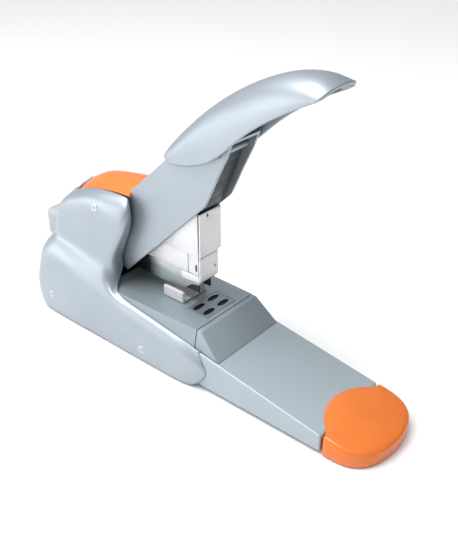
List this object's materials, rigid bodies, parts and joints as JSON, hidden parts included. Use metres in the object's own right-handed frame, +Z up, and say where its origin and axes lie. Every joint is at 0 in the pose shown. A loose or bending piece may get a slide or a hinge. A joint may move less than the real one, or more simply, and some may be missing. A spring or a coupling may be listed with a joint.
{
  "type": "heavy-duty stapler",
  "caption": "Desk stapler for thick stacks: long sloping base, rear housing, raised lever arm with a palm handle, hinged magazine with a sliding driver head, rear loader grip.",
  "frame": {"origin": "centre of the footprint, on the surface that the rubber feet stand on", "axes": "+X along the base to the orange nose, +Z up, +Y across; the arm is raised"},
  "size_m": [0.304, 0.076, 0.2115],
  "materials": {
    "silver_shell": "satin silver paint, fine metallic",
    "silver_deck": "satin silver-grey paint",
    "orange_plastic": "smooth moulded",
    "nickel_plate": "bright nickel plate",
    "zinc_steel": "zinc-plated steel",
    "dark_link": "dark grey",
    "pale_plastic": "moulded pale grey",
    "black_rubber": "matt",
    "spring_steel": "oiled wire"
  },
  "bodies": {
    "base": {"base_shell": "silver_deck", "base_plate": "zinc_steel", "nose_cap": "orange_plastic", "foot_front_left": "black_rubber", "foot_front_right": "black_rubber", "foot_rear_left": "black_rubber", "foot_rear_right": "black_rubber", "base_screw_front_left": "zinc_steel", "base_screw_front_right": "zinc_steel", "base_screw_rear_left": "zinc_steel", "base_screw_rear_right": "zinc_steel", "anvil_block": "silver_deck", "anvil_front_cover": "silver_deck", "anvil_plate": "zinc_steel", "magazine_guide": "pale_plastic", "housing_left": "silver_shell", "housing_right": "silver_shell", "housing_cap": "orange_plastic", "housing_screw_upper_left": "zinc_steel", "housing_screw_rear_left": "zinc_steel", "housing_screw_front_left": "zinc_steel", "housing_screw_upper_right": "zinc_steel", "housing_screw_rear_right": "zinc_steel", "housing_screw_front_right": "zinc_steel", "hinge_bracket": "zinc_steel", "pivot_pin": "nickel_plate", "pivot_clip_left": "spring_steel", "pivot_clip_right": "spring_steel", "magazine_pin_left": "nickel_plate", "magazine_pin_right": "nickel_plate", "return_spring": "spring_steel"},
    "arm": {"arm": "silver_shell", "handle_shell": "silver_shell", "handle_insert": "dark_link", "link_pin": "nickel_plate"},
    "link": {"drive_link": "dark_link"},
    "magazine": {"magazine_rail": "zinc_steel", "head_frame": "nickel_plate", "staple_strip": "zinc_steel"},
    "driver": {"driver_carrier": "nickel_plate", "driver_block": "zinc_steel", "driver_blade": "spring_steel"},
    "loader": {"loader_grip": "pale_plastic", "guide_rod": "nickel_plate"},
    "pusher": {"pusher": "pale_plastic", "pusher_spring": "spring_steel"}
  },
  "joints": [
    {"name": "arm_hinge", "type": "hinge", "parent": "base", "child": "arm", "pos_m": [-0.085, 0, 0.075], "axis": [0, 1, 0], "range_deg": [0, 22], "stiffness_Nm_per_rad": 1.2, "springref_deg": -68.75},
    {"name": "link_swing", "type": "hinge", "parent": "arm", "child": "link", "pos_m": [0.027, 0, 0.157], "axis": [0, 1, 0], "range_deg": [0, 12.2]},
    {"name": "magazine_hinge", "type": "hinge", "parent": "base", "child": "magazine", "pos_m": [-0.1, 0, 0.06], "axis": [0, 1, 0], "range_deg": [0, 4.1]},
    {"name": "driver_slide", "type": "slide", "parent": "magazine", "child": "driver", "axis": [0, 0, -1], "range_m": [0, 0.0215]},
    {"name": "loader_slide", "type": "slide", "parent": "magazine", "child": "loader", "axis": [-1, 0, 0], "range_m": [0, 0.1]},
    {"name": "pusher_slide", "type": "slide", "parent": "loader", "child": "pusher", "axis": [1, 0, 0], "range_m": [-0.05, 0], "stiffness_N_per_m": 30, "springref_m": 0.05, "deforming": ["pusher_spring"]}
  ],
  "couplings": [
    {"joint": "link_swing", "follows": "arm_hinge", "ratio": 0.55},
    {"joint": "magazine_hinge", "follows": "arm_hinge", "ratio": 0.185},
    {"joint": "driver_slide", "follows": "arm_hinge", "m_per_rad": 0.0555}
  ]
}
